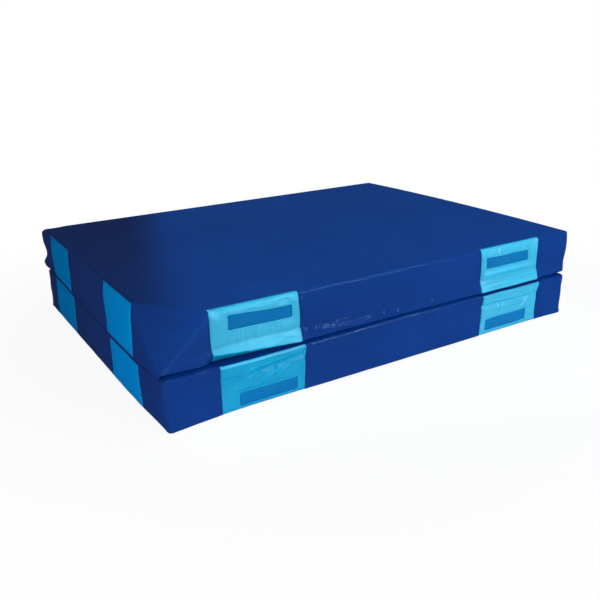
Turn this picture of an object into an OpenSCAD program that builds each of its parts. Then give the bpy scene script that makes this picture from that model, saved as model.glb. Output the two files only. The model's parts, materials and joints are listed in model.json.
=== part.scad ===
// Folding gym landing mat: two foam-filled sections joined along their back edges by a fabric hinge.
// The mat is modelled folded, with the upper section lying on the lower one.
// Both sections are the same product. The upper one is a second one, turned over by the fold.
// The origin is the centre of the lower section's floor face. +X runs along the fold, the fold is
// at +Y, and +Z is up. Lengths are in millimetres.

/* [Mat] */
// Length of the mat along its fold
mat_length = 2000; // [1950:10:2400]
// Depth of one section, from its front edge to the fold
section_depth = 1500; // [1450:10:1800]
// Height of one section
section_height = 200; // [190:5:300]
// Radius of a section's corners, seen from above
corner_radius = 20; // [18:1:60]
// Radius to which the cover rolls over its long edges
edge_radius = 12; // [8:1:16]
// Gap between the two landing faces of the folded mat
fold_gap = 0.6; // [0.4:0.1:2]

/* [Foam] */
// Height of the firm foam layer under the landing sheet
topper_height = 60; // [45:5:70]
// Radius of the foam's edges where the two layers meet
foam_joint_radius = 8; // [8:1:12]
// Room between the foam and the side walls of the cover
foam_ease = 3; // [3:0.5:6]

/* [Cover] */
// Thickness of the coated cover fabric
sheet_thickness = 1; // [0.6:0.1:1.2]
// Depth of the crease in the walls where the foam layers meet
crease_depth = 3; // [2:0.5:4]
// Height of the crease, above and below its middle
crease_reach = 12; // [10:1:14]

/* [Light side panels] */
// Width of a light panel in the front wall
front_panel_width = 350; // [310:10:400]
// Distance of the front panels from the middle of the front wall
front_panel_offset = 632; // [580:1:660]
// How far both front panels are sewn off centre
front_panel_shift = 10; // [0:1:25]
// Width of a light panel in a side wall
side_panel_width = 310; // [250:10:330]
// Distance of the side panels from the middle of a side wall
side_panel_offset = 412; // [360:1:430]
// How far both side panels are sewn towards the fold
side_panel_shift = 34; // [0:1:45]

/* [Air vents] */
// Width of a vent window
vent_width = 250; // [150:10:260]
// Height of a vent window
vent_height = 50; // [30:2:56]
// Height of plain cover between the rolled edge and the vent mesh behind the cover
vent_seam = 1; // [0:1:3]
// How far a vent sits from its panel's middle, towards the middle of the mat
vent_inset = 18; // [0:1:20]
// How far the cover has settled down its foam
cover_sag = 10; // [0:1:10]
// Overlap of the vent mesh behind its window
mesh_overlap = 5; // [3:0.5:5]
// Thickness of the vent mesh
mesh_thickness = 0.8; // [0.5:0.1:1.5]

/* [Zips] */
// Length of the zip in the back wall of each section
zip_length = 1700; // [600:10:1740]
// Distance of the zip from the section's floor face
zip_rise = 70; // [55:1:80]
// Height of the slot in the wall that the zip closes
zip_slot = 14; // [13:0.5:18]
// Width of one row of zip teeth
tooth_row = 3.4; // [3:0.1:3.6]
// Thickness of the zip teeth
tooth_thickness = 2.4; // [2:0.1:2.4]
// Gap between the two rows of teeth, in which the slider's post runs
tooth_gap = 1.2; // [1:0.1:1.4]
// Length of the stop at each end of the zip
stop_length = 6; // [4:0.5:10]
// Width of one zip tape beside its teeth
tape_width = 14; // [10:1:18]
// Thickness of the zip tape
tape_thickness = 0.8; // [0.5:0.1:0.9]
// Length of the zip slider
slider_length = 16; // [14:1:22]
// Length of the pull tab from its pivot to its tip
pull_length = 38; // [30:1:50]
// Width of the pull tab
pull_width = 10; // [9:0.5:11]
// Radius of the hole near the tip of the pull tab
pull_hole_radius = 2; // [1:0.1:2.5]
// Running clearance of the slider and the pull
zip_clearance = 0.3; // [0.2:0.05:0.4]

/* [Hinge] */
// Distance of the fold's pivot behind the back walls
pivot_reach = 10; // [9:0.5:16]
// Distance from a landing face to the hinge strip's seam
hinge_edge = 33; // [20:1:34]
// Height of the hinge strip's seam on each back wall
hinge_seam = 14; // [8:1:15]
// Thickness of the hinge strip
hinge_thickness = 1.2; // [0.8:0.1:2]

/* [Hidden] */
$fn = 64;
arc_steps = 6;
// Depth to which the pieces of one solid reach into each other
weld = 0.1;

total_height = 2 * section_height + fold_gap;
half_length = mat_length / 2;
half_depth = section_depth / 2;
straight_length = half_length - corner_radius;
straight_depth = half_depth - corner_radius;
crease_height = section_height - topper_height;

// Clearance between the hinge strip and the upper section
seam_clearance = 0.3;

// The foam's outer face lies this far inside the cover's outer face, and its rims follow the cover's.
foam_inset = sheet_thickness + foam_ease;
foam_rim = edge_radius - sheet_thickness;

vent_rise = edge_radius + vent_seam + mesh_overlap + vent_height / 2 + cover_sag;

// The zip in depth, measured from its wall's outer face, with the slider's plates before and behind
tooth_set = 0.2;
tape_back = -sheet_thickness - tape_thickness;
tooth_back = tape_back - tooth_set;
tooth_front = tooth_back + tooth_thickness;
plate_thickness = 1.2;
back_plate_thickness = 0.7;
plate_back = max(tooth_front, 0) + zip_clearance;
plate_front = plate_back + plate_thickness;
back_plate_front = tooth_back - zip_clearance;

// The zip in height, measured from its middle
row_edge = tooth_gap / 2 + tooth_row;
rail_depth = 1;
rail_thickness = 1;
slider_half_width = row_edge + zip_clearance + rail_thickness;
slider_park = zip_length / 2 - stop_length - slider_length / 2 - zip_clearance;

// Bridge of the slider, and the pull's crossbar that turns under it
bridge_room = 3.1;
bridge_thickness = 1.4;
bridge_half_width = 1.5;
bridge_half_span = 4;
bridge_foot = 1.4;
bridge_end = bridge_half_span + bridge_foot;
crossbar_radius = 1;
pull_axis = plate_front + bridge_room / 2;
pull_thickness = 1.6;
pull_hole_margin = 5;
arm_gap = bridge_half_width + 2 * zip_clearance;
arm_width = 1.6;
arm_end = arm_gap + arm_width;
arm_length = bridge_end + 3;

navy = [0.07, 0.16, 0.45];
light_blue = [0.25, 0.66, 0.88];
mesh_blue = [0.05, 0.38, 0.66];
foam_white = [0.86, 0.84, 0.76];
topper_grey = [0.62, 0.66, 0.68];
tape_black = [0.08, 0.09, 0.14];
metal = [0.62, 0.63, 0.65];

// ---------------------------------------------------------------- placing

// Turns a section over onto the lower one, as the fold does.
module folded_over() {
    translate([0, 0, total_height]) rotate([0, 180, 0]) children();
}

// Moves children that face +X onto one side of a section. Their +Y then runs along that side.
module on_side(side) {
    if (side == "front") translate([0, -half_depth, 0]) rotate([0, 0, -90]) children();
    if (side == "back") translate([0, half_depth, 0]) rotate([0, 0, 90]) children();
    if (side == "left") translate([-half_length, 0, 0]) rotate([0, 0, 180]) children();
    if (side == "right") translate([half_length, 0, 0]) children();
}

// Sweeps a profile along one side, between two places given in X or Y.
// The profile is drawn as outward distance against height.
module run(side, from, to) {
    along = side == "left" || side == "back" ? -1 : 1;
    on_side(side)
        translate([0, max(along * from, along * to), 0])
            rotate([90, 0, 0]) linear_extrude(abs(to - from)) children();
}

// Sweeps a profile round one corner. Turn 0 is the right back corner, and the others follow it
// anticlockwise: left back, left front, right front.
module corner(turn) {
    across = turn == 0 || turn == 3 ? 1 : -1;
    along = turn < 2 ? 1 : -1;
    translate([across * straight_length, along * straight_depth, 0])
        rotate([0, 0, 90 * turn])
            rotate_extrude(angle = 90) translate([corner_radius, 0]) children();
}

// A closed slab with a section's outline: a middle block, and a profile swept all round it
module slab(bottom, top) {
    union() {
        translate([-straight_length, -straight_depth, bottom])
            cube([2 * straight_length, 2 * straight_depth, top - bottom]);
        for (side = ["front", "back"]) run(side, -straight_length, straight_length) children();
        for (side = ["left", "right"]) run(side, -straight_depth, straight_depth) children();
        for (turn = [0:3]) corner(turn) children();
    }
}

// ---------------------------------------------------------------- profiles

function reversed(points) = [for (i = [len(points) - 1:-1:0]) points[i]];

function arc(centre, radius, from, to) = [
    for (i = [0:arc_steps])
        let (angle = from + (to - from) * i / arc_steps)
            centre + radius * [cos(angle), sin(angle)]
];

// The line that the wall follows up the section, this far inside its outer face
function wall_line(inset) = concat(
    arc([-edge_radius, edge_radius], edge_radius - inset, -90, 0),
    [
        [-inset, crease_height - crease_reach],
        [-inset - crease_depth, crease_height],
        [-inset, crease_height + crease_reach]
    ],
    arc([-edge_radius, section_height - edge_radius], edge_radius - inset, 0, 90)
);

module wall_profile() {
    polygon(concat(wall_line(0), reversed(wall_line(sheet_thickness))));
}

module foam_profile(bottom, top, bottom_radius, top_radius) {
    polygon(concat(
        [[-corner_radius, bottom]],
        arc([-foam_inset - bottom_radius, bottom + bottom_radius], bottom_radius, -90, 0),
        arc([-foam_inset - top_radius, top - top_radius], top_radius, 0, 90),
        [[-corner_radius, top]]
    ));
}

module sheet_profile(bottom) {
    translate([-corner_radius, bottom]) square([corner_radius - edge_radius, sheet_thickness]);
}

// ---------------------------------------------------------------- foam

module foam_core() {
    color(foam_white)
        slab(sheet_thickness, crease_height)
            foam_profile(sheet_thickness, crease_height, foam_rim, foam_joint_radius);
}

module foam_topper() {
    top = section_height - sheet_thickness;
    color(topper_grey)
        slab(crease_height, top) foam_profile(crease_height, top, foam_joint_radius, foam_rim);
}

// ---------------------------------------------------------------- cover

module base_sheet() {
    color(navy) slab(0, sheet_thickness) sheet_profile(0);
}

module landing_sheet() {
    bottom = section_height - sheet_thickness;
    color(navy) slab(bottom, section_height) sheet_profile(bottom);
}

// Both ends of a light panel along its wall. hand is -1 for the left or front one, 1 for the other.
function front_panel_middle(hand) = hand * front_panel_offset + front_panel_shift;
function front_panel_ends(hand) = [
    for (end = [-1, 1]) front_panel_middle(hand) + end * front_panel_width / 2
];
function side_panel_ends(hand) = [
    for (end = [-1, 1]) hand * side_panel_offset + side_panel_shift + end * side_panel_width / 2
];

// The wall between the two light panels of the front
module front_wall() {
    color(navy) run("front", front_panel_ends(-1)[1], front_panel_ends(1)[0]) wall_profile();
}

// The wall between the two light panels of a side
module side_wall(side) {
    color(navy) run(side, side_panel_ends(-1)[1], side_panel_ends(1)[0]) wall_profile();
}

// Wraps a front corner, from the side's light panel round to the front's.
module front_corner(side) {
    hand = side == "left" ? -1 : 1;
    front_end = front_panel_ends(hand)[hand < 0 ? 0 : 1];
    color(navy) union() {
        run(side, -straight_depth, side_panel_ends(-1)[0]) wall_profile();
        corner(hand < 0 ? 2 : 3) wall_profile();
        run("front", hand * straight_length, front_end) wall_profile();
    }
}

// One piece round both back corners, with the slot that the zip closes
module back_wall() {
    side_end = side_panel_ends(1)[1];
    color(navy) difference() {
        union() {
            run("left", side_end, straight_depth) wall_profile();
            corner(1) wall_profile();
            run("back", -straight_length, straight_length) wall_profile();
            corner(0) wall_profile();
            run("right", side_end, straight_depth) wall_profile();
        }
        on_side("back")
            translate([-2 * sheet_thickness, -zip_length / 2, zip_rise - zip_slot / 2])
                cube([3 * sheet_thickness, zip_length, zip_slot]);
    }
}

module side_panel(side, hand) {
    ends = side_panel_ends(hand);
    color(light_blue) run(side, ends[0], ends[1]) wall_profile();
}

// Moves children to a front panel's vent. lift is how far the settled cover has moved it.
module at_vent(hand, lift) {
    on_side("front")
        translate([0, front_panel_middle(hand) - hand * vent_inset, vent_rise + lift]) children();
}

module front_panel(hand, lift) {
    ends = front_panel_ends(hand);
    color(light_blue) difference() {
        run("front", ends[0], ends[1]) wall_profile();
        at_vent(hand, lift)
            translate([-2 * sheet_thickness, -vent_width / 2, -vent_height / 2])
                cube([3 * sheet_thickness, vent_width, vent_height]);
    }
}

module vent_mesh(hand, lift) {
    width = vent_width + 2 * mesh_overlap;
    height = vent_height + 2 * mesh_overlap;
    color(mesh_blue) at_vent(hand, lift)
        translate([-sheet_thickness - mesh_thickness, -width / 2, -height / 2])
            cube([mesh_thickness, width, height]);
}

// ---------------------------------------------------------------- zip

// Moves children to the zip, this far along it from its middle.
module at_zip(place) {
    on_side("back") translate([0, place, zip_rise]) children();
}

module zip_tapes() {
    color(tape_black) at_zip(0)
        for (bottom = [-row_edge - tape_width, row_edge])
            translate([tape_back, -zip_length / 2, bottom])
                cube([tape_thickness, zip_length, tape_width]);
}

// Two rows of teeth, joined by a stop at each end
module zip_chain() {
    color(tape_black) at_zip(0) difference() {
        translate([tooth_back, -zip_length / 2, -row_edge])
            cube([tooth_thickness, zip_length, 2 * row_edge]);
        translate([tooth_back - weld, -zip_length / 2 + stop_length, -tooth_gap / 2])
            cube([tooth_thickness + 2 * weld, zip_length - 2 * stop_length, tooth_gap]);
    }
}

module slider_plate(back, thickness) {
    translate([back, -slider_length / 2, -slider_half_width])
        cube([thickness, slider_length, 2 * slider_half_width]);
}

module zip_slider() {
    post_half = tooth_gap / 2 - zip_clearance;
    color(metal) at_zip(-slider_park) union() {
        slider_plate(plate_back, plate_thickness);
        slider_plate(back_plate_front - back_plate_thickness, back_plate_thickness);
        translate([back_plate_front - weld, -slider_length / 4, -post_half])
            cube([plate_back - back_plate_front + 2 * weld, slider_length / 2, 2 * post_half]);
        for (bottom = [-slider_half_width, slider_half_width - rail_thickness])
            translate([plate_back - rail_depth, -slider_length / 2, bottom])
                cube([rail_depth + weld, slider_length, rail_thickness]);
        for (start = [-bridge_end, bridge_half_span])
            translate([plate_front - weld, start, -bridge_half_width])
                cube([bridge_room + 2 * weld, bridge_foot, 2 * bridge_half_width]);
        translate([plate_front + bridge_room, -bridge_end, -bridge_half_width])
            cube([bridge_thickness, 2 * bridge_end, 2 * bridge_half_width]);
    }
}

module zip_pull() {
    color(metal) at_zip(-slider_park) translate([pull_axis, 0, 0]) difference() {
        union() {
            translate([0, 0, -arm_end]) cylinder(r = crossbar_radius, h = 2 * arm_end);
            for (bottom = [-arm_end, arm_gap])
                translate([-pull_thickness / 2, 0, bottom])
                    cube([pull_thickness, arm_length + weld, arm_width]);
            translate([-pull_thickness / 2, arm_length, -pull_width / 2])
                cube([pull_thickness, pull_length - arm_length, pull_width]);
        }
        translate([-pull_thickness, pull_length - pull_hole_margin, 0])
            rotate([0, 90, 0]) cylinder(r = pull_hole_radius, h = 2 * pull_thickness);
    }
}

// ---------------------------------------------------------------- hinge

// A strip sewn to both back walls. Between its seams it bows out, through the fold's pivot.
module hinge_strip() {
    half = hinge_thickness / 2;
    face = seam_clearance + hinge_thickness;
    span = hinge_edge + fold_gap / 2;
    seam_end = span + hinge_seam;
    rise = pivot_reach - seam_clearance - half;
    radius = (span * span + rise * rise) / (2 * rise);
    centre = [pivot_reach - radius, 0];
    sweep = asin(span / radius);
    color(navy) translate([0, 0, total_height / 2])
        run("back", -straight_length, straight_length)
            polygon(concat(
                [[0, -seam_end], [face, -seam_end]],
                arc(centre, radius + half, -sweep, sweep),
                [[face, seam_end], [seam_clearance, seam_end], [seam_clearance, span]],
                reversed(arc(centre, radius - half, -sweep, sweep)),
                [[0, -span]]
            ));
}

// ---------------------------------------------------------------- lower section

foam_core();  // lower_foam_core
foam_topper();  // lower_foam_topper
base_sheet();  // lower_base_sheet
landing_sheet();  // lower_landing_sheet
front_wall();  // lower_front_wall
side_wall("left");  // lower_left_wall
side_wall("right");  // lower_right_wall
back_wall();  // lower_back_wall
front_corner("left");  // lower_left_front_corner
front_corner("right");  // lower_right_front_corner
front_panel(-1, -cover_sag);  // lower_front_left_panel
front_panel(1, -cover_sag);  // lower_front_right_panel
side_panel("left", -1);  // lower_left_front_panel
side_panel("left", 1);  // lower_left_back_panel
side_panel("right", -1);  // lower_right_front_panel
side_panel("right", 1);  // lower_right_back_panel
vent_mesh(-1, -cover_sag);  // lower_left_vent_mesh
vent_mesh(1, -cover_sag);  // lower_right_vent_mesh
zip_tapes();  // lower_zip_tapes
zip_chain();  // lower_zip_chain
zip_slider();  // lower_zip_slider
zip_pull();  // lower_zip_pull

// ---------------------------------------------------------------- upper section

// Turned over, the section's left and right change places.
folded_over() foam_core();  // upper_foam_core
folded_over() foam_topper();  // upper_foam_topper
folded_over() base_sheet();  // upper_base_sheet
folded_over() landing_sheet();  // upper_landing_sheet
folded_over() front_wall();  // upper_front_wall
folded_over() side_wall("right");  // upper_left_wall
folded_over() side_wall("left");  // upper_right_wall
folded_over() back_wall();  // upper_back_wall
folded_over() front_corner("right");  // upper_left_front_corner
folded_over() front_corner("left");  // upper_right_front_corner
folded_over() front_panel(1, cover_sag);  // upper_front_left_panel
folded_over() front_panel(-1, cover_sag);  // upper_front_right_panel
folded_over() side_panel("right", -1);  // upper_left_front_panel
folded_over() side_panel("right", 1);  // upper_left_back_panel
folded_over() side_panel("left", -1);  // upper_right_front_panel
folded_over() side_panel("left", 1);  // upper_right_back_panel
folded_over() vent_mesh(1, cover_sag);  // upper_left_vent_mesh
folded_over() vent_mesh(-1, cover_sag);  // upper_right_vent_mesh
folded_over() zip_tapes();  // upper_zip_tapes
folded_over() zip_chain();  // upper_zip_chain
folded_over() zip_slider();  // upper_zip_slider
folded_over() zip_pull();  // upper_zip_pull

// ---------------------------------------------------------------- between the sections

hinge_strip();
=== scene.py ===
"""Looks of a folding gym landing mat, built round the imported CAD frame.

The cover of each section is worked out as one closed sheet: a wall that runs round the outline and
rolls over both rims, and a flat sheet above and below. The wall is simulated as slack cloth, gets its
creases, folds and seams, and is then cut into the panels that it is sewn from.
Lengths are in metres, in the frame's own axes: +X along the fold, the fold at +Y, +Z up.
"""

import json
import math

import bmesh
import bpy
import numpy as np
from mathutils import Matrix, Vector


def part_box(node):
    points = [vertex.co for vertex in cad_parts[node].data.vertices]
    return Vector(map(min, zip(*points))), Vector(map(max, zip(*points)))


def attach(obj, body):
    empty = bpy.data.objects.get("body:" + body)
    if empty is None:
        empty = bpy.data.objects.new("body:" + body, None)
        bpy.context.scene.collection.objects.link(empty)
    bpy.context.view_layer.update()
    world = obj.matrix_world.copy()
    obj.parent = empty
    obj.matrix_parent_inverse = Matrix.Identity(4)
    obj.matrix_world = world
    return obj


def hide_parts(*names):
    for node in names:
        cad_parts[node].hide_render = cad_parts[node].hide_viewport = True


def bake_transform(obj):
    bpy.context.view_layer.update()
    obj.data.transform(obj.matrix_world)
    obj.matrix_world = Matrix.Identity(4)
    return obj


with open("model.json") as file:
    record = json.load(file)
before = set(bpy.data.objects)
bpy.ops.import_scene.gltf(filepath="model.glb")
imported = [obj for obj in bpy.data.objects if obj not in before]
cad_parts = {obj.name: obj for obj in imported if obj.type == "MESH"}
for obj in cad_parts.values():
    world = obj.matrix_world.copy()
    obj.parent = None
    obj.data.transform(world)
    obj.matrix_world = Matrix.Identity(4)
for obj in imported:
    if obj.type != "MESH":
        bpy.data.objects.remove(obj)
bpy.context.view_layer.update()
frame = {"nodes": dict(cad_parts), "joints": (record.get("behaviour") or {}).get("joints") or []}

# ---------------------------------------------------------------- sizes, from the frame

MM = 0.001
wall_low, wall_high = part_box("lower_back_wall")
HALF_X = wall_high.x
HALF_Y = wall_high.y
HEIGHT = wall_high.z - wall_low.z
CORNER = HALF_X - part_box("hinge_strip")[1].x
EDGE = HALF_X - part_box("lower_base_sheet")[1].x
STRAIGHT_X = HALF_X - CORNER
STRAIGHT_Y = HALF_Y - CORNER
ARC = CORNER * math.pi / 2
ROLL = EDGE * math.pi / 2
RISE = HEIGHT - 2 * EDGE + 2 * ROLL
START_LEFT = STRAIGHT_X + ARC
START_FRONT = START_LEFT + 2 * STRAIGHT_Y + ARC
START_RIGHT = START_FRONT + 2 * STRAIGHT_X + ARC
START_BACK = START_RIGHT + 2 * STRAIGHT_Y + ARC
OUTLINE = START_BACK + STRAIGHT_X
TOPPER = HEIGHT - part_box("lower_foam_topper")[0].z
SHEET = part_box("lower_base_sheet")[1].z
FOLD = next(j for j in frame["joints"] if j["name"] == "fold")
PIVOT = Vector(FOLD["pos_m"])

# The spacing of the wall's grid lines, and how far from a seam its closest grid line lies
FRONT_STEP = 5 * MM
SIDE_STEP = 9 * MM
BACK_STEP = 12 * MM
ROW_STEP = 5.5 * MM
SEAM_REACH = 4 * MM
# Half the height of the slot in the back wall that the zip closes
SLOT_HALF = 7 * MM
# How far the vent mesh laps behind the rim of its window
MESH_LAP = 5 * MM


class Section:
    """One half of the mat: where it lies, where its panels end, and the grid of its cover."""

    def __init__(self, name, landing_up):
        self.name = name
        self.landing_up = landing_up
        self.z0 = self.box("back_wall")[0].z
        self.crease = HEIGHT - TOPPER if landing_up else TOPPER
        low, high = self.box("zip_chain")
        self.zip_z = ((low + high) / 2).z - self.z0
        self.zip_half = high.x
        self.vents = [self.vent(side) for side in ("left", "right")]
        self.ends = self.panel_ends()

    def box(self, part):
        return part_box(self.name + "_" + part)

    def random(self, number):
        """Random numbers of the section's own, the same in each run."""
        return np.random.default_rng(number if self.name == "upper" else number + 1)

    def from_landing(self, z):
        return HEIGHT - z if self.landing_up else z

    def vent(self, side):
        """A vent window: its ends along the wall and its lowest and highest line on it."""
        low, high = self.box(side + "_vent_mesh")
        bottom, top = low.z + MESH_LAP - self.z0, high.z - MESH_LAP - self.z0
        return on_front(low.x + MESH_LAP), on_front(high.x - MESH_LAP), bottom, top

    def panel_ends(self):
        """Where each panel of the wall starts, in order round the outline, and where the last one ends."""
        left = [on_left(end.y) for part in ("left_back", "left_front") for end in self.panel(part)[::-1]]
        front = [on_front(end.x) for part in ("front_left", "front_right") for end in self.panel(part)]
        right = [on_right(end.y) for part in ("right_front", "right_back") for end in self.panel(part)]
        return [right[-1] - OUTLINE, *left, *front, *right]

    def panel(self, part):
        return self.box(part + "_panel")


# The panels of a wall, in order round the outline, from the right back panel's end
PANELS = (
    "back_wall", "left_back_panel", "left_wall", "left_front_panel", "left_front_corner",
    "front_left_panel", "front_wall", "front_right_panel", "right_front_corner",
    "right_front_panel", "right_wall", "right_back_panel",
)

# ---------------------------------------------------------------- the outline and the wall's profile


def on_left(y):
    return START_LEFT + STRAIGHT_Y - y


def on_front(x):
    return START_FRONT + STRAIGHT_X + x


def on_right(y):
    return START_RIGHT + STRAIGHT_Y + y


def on_back(x):
    return -x


def rim(s):
    """Places (x, y) and outward normals round the outline, s metres to the left of the back's middle."""
    s = np.asarray(s, float) % OUTLINE
    place = np.zeros(s.shape + (2,))
    normal = np.zeros(s.shape + (2,))
    stretches = (
        (START_BACK - OUTLINE, 1, 1),
        (START_LEFT, -1, 1),
        (START_FRONT, -1, -1),
        (START_RIGHT, 1, -1),
        (START_BACK, 1, 1),
    )
    for turn, (start, side_x, side_y) in enumerate(stretches):
        on = s > start - ARC
        past = s[on] - start
        angle = math.pi / 2 * (turn + np.clip(past / ARC, -1, 0))
        normal[on] = np.stack([-np.sin(angle), np.cos(angle)], -1)
        heading = np.stack([-normal[on][:, 1], normal[on][:, 0]], -1)
        straight = np.clip(past, 0, None)[:, None] * heading
        place[on] = np.array([side_x * STRAIGHT_X, side_y * STRAIGHT_Y]) + CORNER * normal[on] + straight
    return place, normal


def profile(t):
    """Offset inside the outer face, height, and tilt of the outward normal, t metres up the wall."""
    tilt = (np.minimum(t - ROLL, 0) + np.maximum(t - RISE + ROLL, 0)) / EDGE
    height = EDGE * (1 + np.sin(tilt)) + np.clip(t - ROLL, 0, RISE - 2 * ROLL)
    return EDGE * (1 - np.cos(tilt)), height, tilt


def up_wall(height):
    """How far up the wall's profile a height on its flat part lies."""
    return ROLL + height - EDGE


def wall_point(s, t):
    """Places and outward normals of the plain wall, before any relief."""
    place, normal = rim(s)
    inside, height, tilt = profile(t)
    shape = np.broadcast_shapes(np.shape(s), np.shape(t))
    point = np.zeros(shape + (3,))
    facing = np.zeros(shape + (3,))
    point[..., :2] = place - normal * inside[..., None]
    point[..., 2] = height
    facing[..., :2] = normal * np.cos(tilt)[..., None]
    facing[..., 2] = np.sin(tilt)
    return point, facing


# ---------------------------------------------------------------- relief


def smooth(x):
    x = np.clip(x, 0, 1)
    return x * x * (3 - 2 * x)


def hump(x, width):
    return np.exp(-((x / width) ** 2))


def off_rims(z, reach):
    """0 at both rims of the wall, and 1 from reach inside them."""
    return smooth(z / reach) * smooth((HEIGHT - z) / reach)


def on_back_wall(s):
    return (s < on_left(STRAIGHT_Y)) & (s > on_right(STRAIGHT_Y) - OUTLINE)


def beside(vent, s, z):
    """How far a place on the wall lies outside a vent window. It is below 0 inside the window."""
    low, high, bottom, top = vent
    return np.maximum(np.maximum(low - s, s - high), np.maximum(bottom - z, z - top))


def ripple(rng, s, z, waves, shortest, size):
    """A smooth random relief that closes round the outline."""
    total = np.zeros(np.broadcast_shapes(s.shape, z.shape))
    for _ in range(waves):
        turns = rng.integers(2, int(OUTLINE / shortest))
        upward = rng.uniform(-1, 1) * 2 * math.pi / 0.16
        phase = rng.uniform(0, 2 * math.pi)
        total += np.cos(2 * math.pi * turns * s / OUTLINE + upward * z + phase)
    return size * total * math.sqrt(2 / waves)


def fold(s, z, row, sharp):
    """One fold of the cover between two places on the front wall, high in the middle, flat at its ends.

    Its flanks hang like a tent at sharp 2, and lie flat like a pleat's at sharp 1.
    """
    start_x, start_z, end_x, end_z, width, size = row
    start_s, run = on_front(start_x), (on_front(end_x) - on_front(start_x), end_z - start_z)
    share = np.clip(((s - start_s) * run[0] + (z - start_z) * run[1]) / math.hypot(*run) ** 2, 0, 1)
    away = np.hypot(s - start_s - share * run[0], z - start_z - share * run[1])
    crest = np.clip(1 - away / (width * MM), 0, 1) ** sharp
    return size * MM * crest * np.sin(math.pi * np.clip(0.08 + 0.92 * share, 0, 1)) ** 0.6


def press(section, points, inset=0.0):
    """Presses whatever stands beyond the cut of a collapsed corner back onto the cut."""
    pressed = points.copy()
    for side_x, side_y, apex in CUTS[section.name]:
        reach_x, reach_y = tip_spread(section, side_x, side_y)
        slope = np.array([1 / reach_x / CUT_WIDE, 1 / reach_y / CUT_WIDE, 1 / (HEIGHT - apex)])
        steep = np.linalg.norm(slope)
        corner, outward = np.array([HALF_X, HALF_Y, HEIGHT]), np.array([side_x, side_y, 1])
        deep = corner - outward * points
        beyond = (1 - deep @ slope) / steep + inset
        wide = smooth((deep[..., 2] - 6 * MM) / 0.07) * smooth((HEIGHT - deep[..., 2] - 8 * MM) / 0.1)
        blend = 2.5 * MM + 9 * MM * wide
        move = np.where(beyond > blend, beyond, np.clip(beyond + blend, 0, None) ** 2 / (4 * blend))
        pressed -= move[..., None] * slope / steep * outward
    return pressed


# How each corner gives way, in millimetres: the base rim's drop and rounding, then the landing rim's.
# Corners are left front, right front, left back, right back.
TIPS = {
    "upper": ((0, 0, 4, 10), (0, 4, 3, 8), (0, 20, 3, 8), (0, 8, 3, 8)),
    "lower": ((0, 0, 2, 12), (0, 0, 4, 10), (0, 0, 4, 8), (0, 0, 4, 8)),
}
# Corners whose foam has collapsed: their sides, and the height on the corner where the cut runs out
CUTS = {"upper": ((-1, -1, 12 * MM),), "lower": ()}
# How much farther than the corner's loose fabric the cut reaches
CUT_WIDE = 1.07
# How far both landing rims have sunk along the left wall, from back to front: place along Y, and depth
SINK = ((0.75, 0), (0.45, 4 * MM), (0.1, 17 * MM), (-0.3, 28 * MM), (-0.62, 26 * MM), (-0.75, 22 * MM))
# How far the middle of the right side's top rim arches up
BOW = 9 * MM
# How far the bottom of the front left corner has been dragged along X and Y
TOE = (11 * MM, -18 * MM)
TIP_SIDES = ((-1, -1), (1, -1), (-1, 1), (1, 1))


def tip_spread(section, side_x, side_y):
    """How far a corner's loose fabric reaches along X and along Y: to the light panels beside it."""
    if side_y > 0:
        return 150 * MM, HALF_Y - section.panel("left_back")[1].y
    left, right = section.panel("front_left")[0], section.panel("front_right")[1]
    spread_x = HALF_X + left.x if side_x < 0 else HALF_X - right.x
    return spread_x, HALF_Y + section.panel("left_front")[0].y


def tip_give(section, x, y, landing):
    """How far a rim drops beyond a line across each corner, and how widely it is rounded there."""
    drop, rounding = np.zeros(np.shape(x)), np.zeros(np.shape(x))
    for (side_x, side_y), give in zip(TIP_SIDES, TIPS[section.name]):
        spread_x, spread_y = tip_spread(section, side_x, side_y)
        beyond = np.clip(1 - (HALF_X - side_x * x) / spread_x - (HALF_Y - side_y * y) / spread_y, 0, 1)
        drop += give[2 if landing else 0] * MM * beyond**0.9
        rounding += give[3 if landing else 1] * MM * smooth(beyond / 0.55)
    return drop, rounding


def rim_rounding(x, y, down, radius):
    """Move of points near a rounded rim: inwards from both sides, and away from the rim's face."""
    size = np.maximum(radius, 1e-6)
    near_x = np.clip(1 - np.maximum(down, HALF_X - np.abs(x)) / size, 0, 1) ** 2 * radius / 4
    near_y = np.clip(1 - np.maximum(down, HALF_Y - np.abs(y)) / size, 0, 1) ** 2 * radius / 4
    return -np.sign(x) * near_x, -np.sign(y) * near_y, near_x + near_y


def sink(x, y):
    """How far the fold between the sections has sunk at the left wall; it fades out towards the middle."""
    places, depths = zip(*reversed(SINK))
    reach = 0.015 + 0.265 * smooth((y + HALF_Y) / 0.3)
    return np.interp(y, places, depths) * smooth((-x / HALF_X - 1 + reach) / reach)


def crown(x, y):
    return np.clip(1 - (x / HALF_X) ** 2, 0, 1) * np.clip(1 - (y / HALF_Y) ** 2, 0, 1)


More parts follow.
